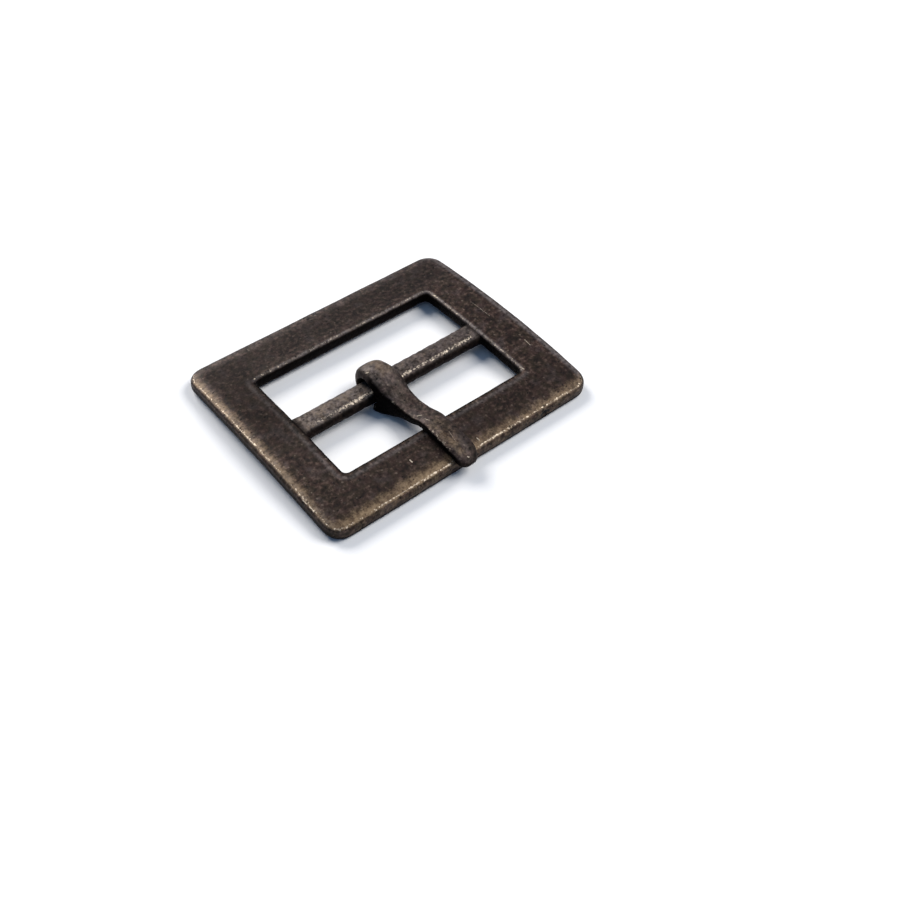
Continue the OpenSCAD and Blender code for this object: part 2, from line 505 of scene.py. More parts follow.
class Casting:
    """What every cast piece shares: how its mesh is made, joined, worn, given painted light and shade, and
    dressed.
    """

    @staticmethod
    def grow(
        mesh: bmesh.types.BMesh, faces: list[bmesh.types.BMFace], cap: bool,
    ) -> tuple[list[bmesh.types.BMVert], list[bmesh.types.BMFace]]:
        """Extrude a form's end in place, and keep its old faces as a cap or not. Return the new end."""
        made = bmesh.ops.extrude_face_region(mesh, geom=faces)["geom"]
        if not cap:
            bmesh.ops.delete(mesh, geom=[face for face in faces if face.is_valid], context="FACES_ONLY")
        verts = [item for item in made if isinstance(item, bmesh.types.BMVert)]
        return verts, [item for item in made if isinstance(item, bmesh.types.BMFace)]

    @staticmethod
    def to_object(mesh: bmesh.types.BMesh, name: str) -> bpy.types.Object:
        """Turn a mesh in mm into an object in metres at the origin.

        Args:
            mesh: The mesh, which is freed.
            name: The piece's name.

        Returns:
            The new object.
        """
        bmesh.ops.scale(mesh, vec=(MM, MM, MM), verts=mesh.verts)
        bmesh.ops.recalc_face_normals(mesh, faces=mesh.faces)
        for face in mesh.faces:
            face.smooth = True
        data = bpy.data.meshes.new(name)
        mesh.to_mesh(data)
        mesh.free()
        return placed(name, data)

    @staticmethod
    def settle(piece: bpy.types.Object) -> None:
        """Apply every modifier of a piece to its mesh."""
        graph = bpy.context.evaluated_depsgraph_get()
        shown = piece.evaluated_get(graph)
        done = bpy.data.meshes.new_from_object(shown, preserve_all_data_layers=True, depsgraph=graph)
        piece.modifiers.clear()
        piece.data = done
        piece.data.name = piece.name

    @classmethod
    def smooth(cls, piece: bpy.types.Object, levels: int) -> None:
        """Round the piece with a subdivision surface and keep the result."""
        made = piece.modifiers.new("rounding", "SUBSURF")
        made.levels = levels
        made.render_levels = levels
        cls.settle(piece)

    @classmethod
    def combine(cls, piece: bpy.types.Object, other: bpy.types.Object, how: Join) -> None:
        """Join or cut with another object, and keep the result as the piece's own mesh.

        Args:
            piece: The object that is changed.
            other: The object that is joined on or cut away, which is removed.
            how: Whether it is joined on or cut away.
        """
        made = piece.modifiers.new("joining", "BOOLEAN")
        made.operation = how.value
        made.solver = "EXACT"
        made.object = other
        cls.settle(piece)
        bpy.data.objects.remove(other)

    @staticmethod
    def hammer(piece: bpy.types.Object, passes: tuple[Hammering, ...]) -> None:
        """Move each vertex a little along its normal, as a hand-finished casting is uneven.

        Args:
            piece: The object.
            passes: The unevennesses, one after the other.
        """
        for item in passes:
            shift = Vector([spread * item.seed for spread in SEED_SPREAD])
            moved = []
            for vert in piece.data.vertices:
                wave = noise.noise(vert.co / (item.size * MM) + shift)
                moved.append(vert.co + vert.normal * (item.reach * MM * wave))
            for vert, spot in zip(piece.data.vertices, moved):
                vert.co = spot

    @staticmethod
    def landed(piece: bpy.types.Object, marks: tuple[Mark, ...]) -> tuple[Mark, ...]:
        """Drop marks given from above onto the piece's surface.

        Args:
            piece: The object.
            marks: Marks, whose ends have no height yet where they are given from above.

        Returns:
            The marks with their ends on the surface.
        """
        mesh = bmesh.new()
        mesh.from_mesh(piece.data)
        tree = BVHTree.FromBMesh(mesh)
        mesh.free()

        def drop(spot: Point) -> Point:
            """Return the point on the surface under a point, or the point itself if its height is given."""
            if len(spot) == 3:
                return spot
            hit = tree.ray_cast(Vector((spot[0] * MM, spot[1] * MM, ABOVE)), Vector((0, 0, -1)))[0]
            if hit is None:
                log.info("no surface under the mark at %.2f, %.2f", *spot)
                return (*spot, 0.0)
            return tuple(hit / MM)

        return tuple(replace(mark, start=drop(mark.start), end=drop(mark.end)) for mark in marks)

    @staticmethod
    def dent(piece: bpy.types.Object, dents: tuple[Dent, ...]) -> None:
        """Press small casting flaws into the piece's surface."""
        for vert in piece.data.vertices:
            for item in dents:
                near = (vert.co / MM - Vector(item.place)).length / item.radius
                if near < 1:
                    vert.co -= vert.normal * (item.depth * MM * (1 - near * near) ** 2)

    def wear_and_light_at(self, spot: Vector, normal: Vector) -> WearAndPaintedLight:
        """Return the wear and the painted light and shade at a point in mm, where the surface faces the
        normal's way.
        """
        return WearAndPaintedLight()

    def dress(self, piece: bpy.types.Object, material: bpy.types.Material, name: str) -> None:
        """Paint the wear and the painted light and shade, give the piece its finish and hand it over.

        Args:
            piece: The object.
            material: Its finish.
            name: The part of the model that it shows and rides on.
        """
        data = piece.data
        found = [self.wear_and_light_at(vert.co / MM, vert.normal) for vert in data.vertices]
        for layer in fields(WearAndPaintedLight):
            made = data.attributes.new(layer.name, "FLOAT", "POINT")
            made.data.foreach_set("value", [getattr(item, layer.name) for item in found])
        data.materials.clear()
        data.materials.append(material)
        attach(piece, name)
        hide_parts(name)
        log.info("%s: %d faces", piece.name, len(data.polygons))


@dataclass
class FrameCasting(Casting):
    """The arched ring of four rails and the bar across its window, one casting."""

    window_length: float = 25.0
    window_depth: float = 17.6
    side_width: float = 5.6
    end_width: float = 6.1
    window_shift: float = 0.15
    arch_height: float = 0.7
    foot_inset: float = 0.5
    side_bulge: float = 0.12
    corner_radius: float = 2.1
    window_radius: float = 0.6
    centre_y: float = 0.5
    bar_y: float = 0.15
    bar_z: float = 1.55
    bar_half: float = 1.525
    bar_buried: float = 1.6
    bar_flare: float = 0.10
    bar_flare_length: float = 0.7
    bar_steps: int = 44
    corner_steps: int = 6
    side_steps: int = 22
    across_cuts: int = 4
    rounding: int = 2
    # How far the bar's wear and painted light reach past it, and how far the rails' wear and painted light
    # allow for the bulge
    bar_margin: float = 0.15
    edge_margin: float = 0.05
    rail_hammering: tuple[Hammering, ...] = (Hammering(2.6, 0.025, 3.0), Hammering(0.7, 0.014, 7.0))
    bar_hammering: tuple[Hammering, ...] = (Hammering(0.9, 0.04, 9.0), Hammering(0.42, 0.045, 15.0))
    # Insets and heights, from the underside up to the flat
    rows: tuple[RailRow, ...] = tuple(RailRow(Edge.OUTER, *row) for row in (
        (0.48, 0.0), (0.14, 0.10), (0.0, 0.42), (0.0, 0.95), (0.03, 1.28),
        (0.14, 1.47), (0.34, 1.57), (0.75, 1.65), (1.15, 1.71), (1.65, 1.73),
    ))
    window_rows: tuple[RailRow, ...] = tuple(RailRow(Edge.WINDOW, *row) for row in (
        (0.44, 0.0), (0.13, 0.10), (0.0, 0.38), (0.0, 1.30), (0.05, 1.56), (0.22, 1.70), (0.55, 1.73),
    ))
    # Half widths and heights from the bar's middle
    bar_rows: tuple[Limits, ...] = (
        (1.20, -0.75), (1.46, -0.50), (1.53, -0.10), (1.53, 0.12),
        (1.41, 0.38), (1.06, 0.66), (0.80, 0.73), (0.20, 0.77),
    )
    marks: tuple[Mark, ...] = (
        # Bright lines along the front and left crests are painted highlights; dark marks on the front wall
        # are nicks
        Mark((1.6, -13.93), (4.4, -13.95), 0.05, 0.9),
        Mark((11.6, -13.98), (16.2, -14.02), 0.04, 0.5),
        Mark((-11.9, -13.92), (-7.1, -13.95), 0.05, 0.55),
        Mark((-3.5, -13.95), (-2.8, -14.02), 0.08, 0.7),
        Mark((-17.3, -13.4), (-17.0, -13.9), 0.06, 0.5),
        Mark((-13.7, -14.4, 1.15), (-13.4, -14.4, 1.25), 0.15, 0.8, True),
        Mark((-12.8, -14.4, 1.10), (-12.1, -14.4, 1.45), 0.10, 0.7, True),
        Mark((-15.0, -14.4, 1.05), (-14.7, -14.4, 1.25), 0.12, 0.7, True),
        Mark((-9.3, -14.4, 1.35), (-8.8, -14.4, 1.45), 0.12, 0.6, True),
        Mark((12.5, -14.4, 1.05), (12.9, -14.4, 1.15), 0.12, 0.7, True),
        Mark((10.4, -14.30, 0.85), (11.3, -14.30, 1.05), 0.24, 1.0, True),
        Mark((-17.71, 12.2), (-17.73, 10.0), 0.05, 0.5),
        Mark((-17.77, 4.6), (-17.78, 0.8), 0.06, 0.7),
        Mark((-17.78, -1.6), (-17.76, -4.6), 0.04, 0.45),
        Mark((-17.83, -9.7), (-17.79, -10.4), 0.09, 0.8),
        Mark((-17.9, -8.6), (-17.86, -9.2), 0.07, 0.7),
        Mark((15.43, 4.24), (15.51, 0.62), 0.045, 0.5),
        Mark((16.06, -5.07), (15.98, -6.05), 0.07, 0.5),
        Mark((-5.89, -11.13), (-5.88, -11.47), 0.08, 0.8),
        Mark((12.74, -8.26), (12.82, -8.51), 0.07, 0.6),
        Mark((1.85, -13.07), (1.85, -13.41), 0.07, 0.6),
    )
    dents: tuple[Dent, ...] = (
        Dent((10.85, -14.4, 0.90), 0.65, 0.26),
        Dent((-13.5, -14.4, 1.20), 0.45, 0.12),
        Dent((-14.9, -14.4, 1.10), 0.40, 0.10),
        Dent((12.7, -14.4, 1.10), 0.40, 0.10),
        Dent((-18.1, -3.0, 1.40), 0.50, 0.10),
    )

    def half_length(self) -> float:
        """Return half of the outer length."""
        return self.window_length / 2 + self.side_width

    def half_depth(self) -> float:
        """Return half of the outer depth."""
        return self.window_depth / 2 + self.end_width

    def arch(self, y: float) -> float:
        """Return the height that the arch adds at a distance from the frame's middle."""
        return self.arch_height * (1 - (y / (self.half_depth() - self.foot_inset)) ** 2)

    def ring(self, mesh: bmesh.types.BMesh) -> list[bmesh.types.BMEdge]:
        """Start the loop that is swept round the section: a rounded rectangle.

        Args:
            mesh: The mesh that gets the loop.

        Returns:
            The loop's edges.
        """
        core_x, core_y = self.half_length() - self.corner_radius, self.half_depth() - self.corner_radius
        core, out = mesh.verts.layers.float_vector["core"], mesh.verts.layers.float_vector["out"]
        made = bmesh.ops.create_grid(mesh, x_segments=1, y_segments=1, size=1.0)
        bmesh.ops.scale(mesh, vec=(self.half_length(), self.half_depth(), 1.0), verts=made["verts"])
        bmesh.ops.bevel(
            mesh, geom=made["verts"], offset=self.corner_radius, offset_type="OFFSET",
            segments=self.corner_steps, profile=0.5, affect="VERTICES", material=-1, clamp_overlap=False,
        )
        face = mesh.faces[:][0]
        long_sides = [edge for edge in face.edges if edge.calc_length() > 2 * self.corner_radius]
        bmesh.ops.subdivide_edges(mesh, edges=long_sides, cuts=self.side_steps - 1)
        for vert in mesh.verts:
            middle = Vector((
                max(-core_x, min(core_x, vert.co.x)) / core_x,
                max(-core_y, min(core_y, vert.co.y)) / core_y,
                0.0,
            ))
            vert[core] = middle
            vert[out] = (vert.co - Vector((middle.x * core_x, middle.y * core_y, 0.0))).normalized()
        edges = list(mesh.edges)
        bmesh.ops.delete(mesh, geom=list(mesh.faces), context="FACES_ONLY")
        return edges

    def spot(self, core: Vector, out: Vector, row: RailRow) -> Vector:
        """Return where a row of the section lies at one place round the frame.

        Args:
            core: The place along the sides, -1 to 1 in X and Y.
            out: The direction away from the corner's centre.
            row: The row of the section.

        Returns:
            The point in mm, before the arch is added.
        """
        outer = row.edge is Edge.OUTER
        half_x = self.half_length() if outer else self.window_length / 2
        half_y = self.half_depth() if outer else self.window_depth / 2
        radius = self.corner_radius if outer else self.window_radius
        middle = 0.0 if outer else -self.window_shift
        reach = radius - row.inset if outer else radius + row.inset
        made = Vector((core.x * (half_x - radius), middle + core.y * (half_y - radius), row.height))
        made += out * reach
        if outer:
            swell = 1 - (made.y / self.half_depth()) ** 2
            made.x *= 1 + self.side_bulge / self.half_length() * swell
        return made

    def stations(self) -> list[tuple[RailRow, RailRow, float]]:
        """Return every line of the sweep as a mix of two rows, from the underside round to it again."""
        shares = [cut / (self.across_cuts + 1) for cut in range(1, self.across_cuts + 1)]
        made = [(row, row, 0.0) for row in self.rows]
        made += [(self.rows[-1], self.window_rows[-1], share) for share in shares]
        made += [(row, row, 0.0) for row in reversed(self.window_rows)]
        made += [(self.window_rows[0], self.rows[0], share) for share in shares]
        return made + [(self.rows[0], self.rows[0], 0.0)]

    def rails(self) -> bpy.types.Object:
        """Build the ring of rails.

        Returns:
            The object, rounded, hammered and dented.
        """
        mesh = bmesh.new()
        for name in ("core", "out"):
            mesh.verts.layers.float_vector.new(name)
        core, out = mesh.verts.layers.float_vector["core"], mesh.verts.layers.float_vector["out"]
        edges = self.ring(mesh)
        verts = list(mesh.verts)
        for index, (first, second, share) in enumerate(self.stations()):
            if index:
                made = bmesh.ops.extrude_edge_only(mesh, edges=edges)["geom"]
                verts = [item for item in made if isinstance(item, bmesh.types.BMVert)]
                fresh = set(verts)
                edges = [item for item in made if isinstance(item, bmesh.types.BMEdge)]
                edges = [edge for edge in edges if set(edge.verts) <= fresh]
            for vert in verts:
                at = Vector(vert[core]), Vector(vert[out])
                vert.co = self.spot(*at, first).lerp(self.spot(*at, second), share)
                vert.co.z += self.arch(vert.co.y)
        bmesh.ops.remove_doubles(mesh, verts=mesh.verts, dist=MERGE)
        bmesh.ops.translate(mesh, vec=(0, self.centre_y, 0), verts=mesh.verts)
        for layer in (core, out):
            mesh.verts.layers.float_vector.remove(layer)
        piece = self.to_object(mesh, "frame_casting")
        self.smooth(piece, self.rounding)
        self.hammer(piece, self.rail_hammering)
        self.dent(piece, self.dents)
        return piece

    def bar(self) -> bpy.types.Object:
        """Build the bar, with its ends inside the rails and a slight flare where it meets them.

        Returns:
            The object, rounded and hammered.
        """
        mesh = bmesh.new()
        profile = list(self.bar_rows) + [(-across, up) for across, up in reversed(self.bar_rows)]
        made = bmesh.ops.create_circle(mesh, segments=len(profile), radius=1.0, cap_ends=True)
        reach = self.window_length / 2 + self.bar_buried
        for vert, (across, up) in zip(made["verts"], profile):
            vert.co = (-reach, self.bar_y - across, self.bar_z + up)
        faces = list(mesh.faces)
        for step in range(self.bar_steps):
            verts, faces = self.grow(mesh, faces, cap=step == 0)
            bmesh.ops.translate(mesh, vec=(2 * reach / self.bar_steps, 0, 0), verts=verts)
        flare_start = self.window_length / 2 - self.bar_flare_length
        for vert in mesh.verts:
            past = max(0.0, abs(vert.co.x) - flare_start) / self.bar_flare_length
            vert.co.y = self.bar_y + (vert.co.y - self.bar_y) * (1 + self.bar_flare * min(1.0, past) ** 2)
        piece = self.to_object(mesh, "bar_blank")
        self.smooth(piece, self.rounding)
        self.hammer(piece, self.bar_hammering)
        return piece

    @staticmethod
    def edge_gap(
        x: float, y: float, half_x: float, half_y: float, radius: float,
    ) -> tuple[float, float, float]:
        """Measure how far a point lies from the edge of a rounded rectangle round the origin.

        Args:
            x, y: The point.
            half_x, half_y: Half sizes of the rectangle.
            radius: Radius of its corners.

        Returns:
            The distance, negative inside, and the direction straight out across the nearest edge.
        """
        past_x, past_y = abs(x) - half_x + radius, abs(y) - half_y + radius
        beyond = math.hypot(max(past_x, 0.0), max(past_y, 0.0))
        gap = beyond + min(max(past_x, past_y), 0.0) - radius
        if beyond > 0:
            out = (max(past_x, 0.0) / beyond, max(past_y, 0.0) / beyond)
        else:
            out = (1.0, 0.0) if past_x > past_y else (0.0, 1.0)
        return gap, math.copysign(out[0], x), math.copysign(out[1], y)

    def wear_and_light_at(self, spot: Vector, normal: Vector) -> WearAndPaintedLight:
        """Return the wear and the painted light and shade of the frame at a point in mm."""
        ahead = self.bar_y - spot.y
        if abs(spot.x) < self.window_length / 2 and abs(ahead) < self.bar_half + self.bar_margin:
            return self.bar_wear(spot.x, ahead, spot.z - self.bar_z)
        x, y = spot.x, spot.y - self.centre_y
        half_x, half_y = self.half_length() + self.edge_margin, self.half_depth()
        gap, out_x, out_y = self.edge_gap(x, y, half_x, half_y, self.corner_radius)
        half_x, half_y = self.window_length / 2, self.window_depth / 2
        inner, in_x, in_y = self.edge_gap(x, y + self.window_shift, half_x, half_y, self.window_radius)
        height = spot.z - self.arch(y)
        return WearAndPaintedLight.strongest(
            self.edge_wear_and_light(x, height, -gap, out_x, out_y),
            self.rim_wear_and_light(height, inner, in_x, in_y),
            self.flat_and_underside_shade(x, y, -gap, -normal.z),
        )

    @staticmethod
    def edge_wear_and_light(x: float, height: float, inset: float, out_x: float, out_y: float) -> WearAndPaintedLight:
        """Return the wear along the outer edge, with its painted light and shade: rubbed brass, a painted
        crest highlight and painted shade at the foot, laid by how far it faces front and left, towards the
        camera.

        Args:
            x: Place along the frame, in mm.
            height, inset: Height and distance in from the edge, in mm.
            out_x, out_y: Direction straight out across the edge.

        Returns:
            The wear, with painted light and shade.
        """
        front, left, right = max(0.0, -out_y), max(0.0, -out_x), max(0.0, out_x)
        # How far the edge faces front and left, towards the camera; it sets the painted highlight and shade
        # below
        camera_facing = math.hypot(0.84 * left, front)
        upper = ramp(height, 0.95, 1.4)
        spared = 0.25 * ramp(x, 1.0, 4.0) * front
        lip = 0.35 + 0.65 * ramp(inset, 0.15, 0.40)
        # Rubbed brass, made stronger on the front and left as a painted highlight
        rubbed = upper * ramp(inset, 1.9 + 0.7 * front, 0.3) * (0.06 + 0.90 * camera_facing) * (1 - spared) * lip
        # Painted light on the upper front wall
        front_wall_light = 0.42 * front * ramp(height, 0.5, 0.7) * ramp(inset, 0.3, 0.1)
        # Painted highlight along the crest, strongest on the front and left
        crest_highlight = upper * ridge(inset, 0.44, 0.26) * (0.08 + 0.72 * camera_facing)
        # Painted shade on the lower outer wall, strongest on the left
        side = ramp(height, 1.32, 0.95) * (0.10 + 0.65 * left)
        # Painted shade at the foot of the outer wall
        foot_shade = max(ramp(height, 0.75, 0.35), side) * ramp(inset, 0.5, 0.0)
        # Painted shade on the outer wall where it faces back and right
        soot_and_shade = 0.85 * ramp(inset, 0.26, 0.08) * (1 - camera_facing)
        # Painted grey reflection on the back and right bevels
        far_bevel_reflection = upper * ridge(inset, 0.60, 0.55) * (1 - camera_facing) * (0.12 + 0.48 * right)
        # Painted grey sheen on the left bevel
        left_bevel_sheen = 0.45 * upper * ridge(inset, 0.55, 0.50) * left
        return WearAndPaintedLight(max(rubbed, front_wall_light), crest_highlight, max(foot_shade, soot_and_shade), max(far_bevel_reflection, left_bevel_sheen))

    @staticmethod
    def rim_wear_and_light(height: float, inner: float, in_x: float, in_y: float) -> WearAndPaintedLight:
        """Return the wear along the window, with painted highlights on its back and right rim and painted
        shade on its walls and near edges.

        Args:
            height, inner: Height and distance out from the window's edge, in mm.
            in_x, in_y: Direction straight out across that edge.

        Returns:
            The wear, with painted light and shade.
        """
        back, right = ramp(in_y, 0.3, 0.9), ramp(in_x, 0.3, 0.9)
        near = 1 - max(back, right)
        top = ramp(height, 1.35, 1.6)
        rim = ridge(inner, 0.25, 0.32) * top
        # Rubbed brass on the back and right rim, also a painted highlight
        rubbed = rim * max(0.45 * back, 0.40 * right)
        haze = 0.22 * ramp(inner, 1.1, 0.4) * top
        # Painted bright highlights on the back and right rim
        bare_and_highlight = rim * max(0.58 * back, 0.62 * right)
        # Painted shade on the window's walls
        wall_shade = ramp(inner, 0.14, 0.04) * ramp(height, 1.6, 1.35)
        # Painted shade along the front and left edges of the window
        near_rim_shade = 0.85 * ramp(inner, 0.50, 0.20) * near
        # Painted grey highlight on the back and right rim
        far_rim_highlight = 0.8 * rim * max(back, right)
        # Painted grey reflection on the rounded front and left edges
        near_rim_reflection = 0.40 * near * ridge(inner, 0.85, 0.42)
        return WearAndPaintedLight(max(rubbed, haze), bare_and_highlight, max(wall_shade, near_rim_shade), max(far_rim_highlight, near_rim_reflection))

    @staticmethod
    def flat_and_underside_shade(x: float, y: float, inset: float, down: float) -> WearAndPaintedLight:
        """Return painted shade on the four flats, each by its own amount, and on the underside, by how far it
        faces down, with a faint painted grey sheen on the back flat.
        """
        left = 0.56 * ramp(x, -8.0, -13.0) * ramp(y, -12.0, 4.0)
        back = 0.50 * ramp(y, 8.0, 11.0)
        front = (0.26 + 0.10 * ramp(x, 0.0, 3.0)) * ramp(-y, 9.0, 10.5)
        right = 0.14 * ramp(x, 13.0, 14.5)
        # Painted shade, darkest on the left and back flats
        flat_shade = max(left, back, front, right) * ramp(inset, 0.9, 2.0)
        # Painted shade on the underside
        underside = 0.4 * ramp(down, 0.2, 0.8)
        return WearAndPaintedLight(patina_and_shade=max(flat_shade, underside), pale=0.06 * ramp(y, 8.0, 11.0))

    @staticmethod
    def bar_wear(x: float, ahead: float, up: float) -> WearAndPaintedLight:
        """Return the wear and the painted light and shade of the bar, by the place along it, ahead of its
        middle and above it in mm.
        """
        left = ramp(x, -1.0, -5.0)
        top = ramp(up, 0.35, 0.6)
        # Painted highlight along the front shoulder
        shoulder_highlight = top * ridge(ahead, 0.85, 0.50) * 0.90 * ramp(abs(x), 12.2, 11.2)
        # Painted shade on the underside
        low = 0.8 * ramp(up, 0.1, -0.3)
        # Painted shade on the front face
        face = 0.75 * ramp(ahead, 1.0, 1.35)
        # Painted shade where the bar meets the rails
        ends = 0.75 * ramp(abs(x), 11.9, 12.4)
        # Rubbed brass and a painted grey sheen on the top, stronger to the left
        return WearAndPaintedLight(top * (0.26 + 0.12 * left), shoulder_highlight, max(low, face, ends), top * (0.30 + 0.16 * left))

    def build(self, finish: AntiqueFinish, groups: SurfaceGroups) -> bpy.types.Object:
        """Build, join and dress the casting."""
        piece = self.rails()
        self.combine(piece, self.bar(), Join.ADD)
        made = replace(finish, marks=self.landed(piece, self.marks))
        self.dress(piece, made.material(groups), "frame")
        return piece


@dataclass
class ProngCasting(Casting):
    """The loose prong: a hook round the bar and a blunt tongue."""

    place_x: float = -1.15
    hinge_y: float = 0.15
    hinge_z: float = 1.55
    eye_radius: float = 3.0
    hook_low: float = 0.1
    lean: float = 0.35
    reach: float = 15.55
    rounding: int = 3
    fit_passes: int = 2
    fit_gain: float = 0.5
    hammering: tuple[Hammering, ...] = (Hammering(1.3, 0.04, 5.0), Hammering(0.5, 0.02, 11.0))
    hole_middle: float = -1.30
    hole_sides: int = 64
    hole_shade_radius: float = 1.75
    # Places along the bar from the hole's middle, and radii there
    hole_stations: tuple[Limits, ...] = (
        (-4.6, 3.00), (-2.9, 2.50), (-2.4, 2.20), (-2.0, 1.86), (-1.6, 1.64), (-1.2, 1.61),
        (1.9, 1.61), (2.3, 1.70), (2.9, 1.95), (4.6, 2.30),
    )
    # Half sections, as shares of the half width and of the height
    flat_section: tuple[Limits, ...] = (
        (0.40, 0.00), (0.82, 0.06), (1.00, 0.28), (1.00, 0.60), (0.94, 0.82), (0.80, 0.94), (0.44, 1.00),
    )
    round_section: tuple[Limits, ...] = (
        (0.80, 0.00), (0.98, 0.03), (1.00, 0.12), (0.94, 0.32), (0.81, 0.57), (0.60, 0.82), (0.26, 0.98),
    )
    ridge_section: tuple[Limits, ...] = (
        (0.80, 0.00), (0.98, 0.03), (1.00, 0.12), (0.97, 0.42), (0.93, 0.70), (0.84, 0.90), (0.46, 0.99),
    )
    # The eye: distance ahead of the bar, half width, share of the eye's form, shift to the left
    eye_rows: tuple[tuple[float, ...], ...] = (
        (-2.94, 1.12, 0.0, 0.42), (-2.76, 1.30, 0.0, 0.44), (-2.25, 1.57, 0.2, 0.46),
        (-1.56, 1.90, 0.4, 0.44), (-0.78, 2.10, 0.7, 0.26), (0.00, 2.32, 0.9, 0.08),
    )
    # The shank: distance ahead of the bar, half width, underside, top, share of the eye's form
    shank_rows: tuple[tuple[float, ...], ...] = (
        (0.80, 2.54, 0.10, 4.36, 1.0), (1.60, 2.46, 0.10, 4.00, 1.0), (2.40, 2.22, 0.16, 3.54, 1.0),
        (3.20, 1.94, 0.28, 3.08, 0.8), (4.10, 1.68, 0.50, 2.72, 0.5), (5.00, 1.50, 0.86, 2.54, 0.2),
        (6.00, 1.42, 1.16, 2.56, 0.0), (7.00, 1.41, 1.44, 2.72, 0.0), (7.80, 1.40, 1.86, 3.00, 0.0),
        (8.50, 1.42, 2.26, 3.26, 0.0), (9.60, 1.44, 2.20, 3.40, 0.0), (11.60, 1.50, 2.08, 3.26, 0.0),
        (13.30, 1.50, 1.94, 2.98, 0.0), (14.10, 1.46, 1.80, 2.78, 0.0), (14.62, 1.36, 1.22, 2.60, 0.0),
        (15.05, 1.14, 1.12, 2.36, 0.0), (15.38, 0.84, 1.18, 2.08, 0.0), (15.55, 0.46, 1.38, 1.80, 0.0),
    )
    marks: tuple[Mark, ...] = (
        # The bright marks are painted highlights along the eye's left ridge, the shank and the tip
        Mark((-3.0, 0.5), (-2.8, 0.3), 0.10, 0.5),
        Mark((-1.81, -7.18), (-1.47, -7.45), 0.10, 0.4),
        Mark((-1.62, -8.34), (-1.46, -8.84), 0.08, 0.4),
        Mark((-0.77, -11.42), (-1.01, -12.89), 0.05, 0.25),
        Mark((-1.02, -14.85), (-0.9, -14.95), 0.09, 0.6),
    )

    def rows(self) -> list[ProngRow]:
        """Return every section from the eye's back to the tip."""
        made = []
        for ahead, half, form, left in self.eye_rows:
            rise = math.sqrt(self.eye_radius ** 2 - ahead ** 2)
            low = max(self.hook_low, self.hinge_z - rise)
            made.append(ProngRow(ahead, half, low, self.hinge_z + rise, form, -left))
        for ahead, half, low, high, form in self.shank_rows:
            made.append(ProngRow(ahead, half, low, high, form, self.lean * ahead / self.reach))
        return made

    def outline(self, row: ProngRow) -> list[Vector]:
        """Return control points whose smoothed loop runs through a section's corners.

        Args:
            row: The section.

        Returns:
            The points, in mm, in order round the section.
        """
        def mixed(form: tuple[Limits, ...]) -> list[Limits]:
            """Mix the flat half section with another one."""
            pairs = zip(self.flat_section, form)
            return [tuple(between(part, row.form) for part in zip(flat, other)) for flat, other in pairs]

        corners = mixed(self.round_section)
        corners += [(-across, up) for across, up in reversed(mixed(self.ridge_section))]
        wanted = [
            Vector((
                self.place_x + row.side + across * row.half,
                self.hinge_y - row.ahead,
                row.low + up * (row.high - row.low),
            ))
            for across, up in corners
        ]
        made = [spot.copy() for spot in wanted]
        count = len(made)
        for _ in range(self.fit_passes):
            # Rounding draws each point to one sixth of its neighbours and two thirds of itself
            drawn = [(made[i - 1] + made[i] * 4 + made[(i + 1) % count]) / 6 for i in range(count)]
            made = [spot + (goal - at) * self.fit_gain for spot, goal, at in zip(made, wanted, drawn)]
        return made

    def body(self) -> bpy.types.Object:
        """Build the solid form of the prong, before its hole is cut.

        Returns:
            The object, rounded and hammered.
        """
        mesh = bmesh.new()
        rows = self.rows()
        loop = bmesh.ops.create_circle(
            mesh, segments=2 * len(self.flat_section), radius=1.0, cap_ends=True,
        )["verts"]
        for vert, spot in zip(loop, self.outline(rows[0])):
            vert.co = spot
        faces = list(mesh.faces)
        for row in rows[1:]:
            corners = [vert.co.copy() for vert in loop]
            fresh, faces = self.grow(mesh, faces, cap=row is rows[1])
            loop = [min(fresh, key=lambda vert, at=corner: (vert.co - at).length) for corner in corners]
            for vert, spot in zip(loop, self.outline(row)):
                vert.co = spot
        piece = self.to_object(mesh, "prong_casting")
        self.smooth(piece, self.rounding)
        self.hammer(piece, self.hammering)
        return piece

    def hole(self) -> bpy.types.Object:
        """Build the cutter for the hole, flared at both mouths.

        Returns:
            The cutter.
        """
        mesh = bmesh.new()
        start, wide = self.hole_stations[0]
        turn = Matrix.Rotation(math.pi / 2, 4, "Y")
        made = bmesh.ops.create_circle(mesh, segments=self.hole_sides, radius=1.0, cap_ends=True, matrix=turn)
        bmesh.ops.scale(mesh, vec=(1, wide, wide), verts=made["verts"])
        bmesh.ops.translate(mesh, vec=(self.hole_middle + start, 0, 0), verts=made["verts"])
        faces = list(mesh.faces)
        for before, after in zip(self.hole_stations, self.hole_stations[1:]):
            verts, faces = self.grow(mesh, faces, cap=before is self.hole_stations[0])
            ratio = after[1] / before[1]
            bmesh.ops.scale(mesh, vec=(1, ratio, ratio), verts=verts)
            bmesh.ops.translate(mesh, vec=(after[0] - before[0], 0, 0), verts=verts)
        bmesh.ops.translate(mesh, vec=(0, self.hinge_y, self.hinge_z), verts=mesh.verts)
        return self.to_object(mesh, "hole_cutter")

    def width_at(self, ahead: float) -> Limits:
        """Return the half width and the side shift at a distance ahead of the bar."""
        rows = self.rows()
        for first, second in zip(rows, rows[1:]):
            if ahead <= second.ahead:
                share = max(0.0, (ahead - first.ahead) / (second.ahead - first.ahead))
                return between((first.half, second.half), share), between((first.side, second.side), share)
        return rows[-1].half, rows[-1].side

    def wear_and_light_at(self, spot: Vector, normal: Vector) -> WearAndPaintedLight:
        """Return the wear and the painted light and shade of the prong at a point in mm."""
        ahead = self.hinge_y - spot.y
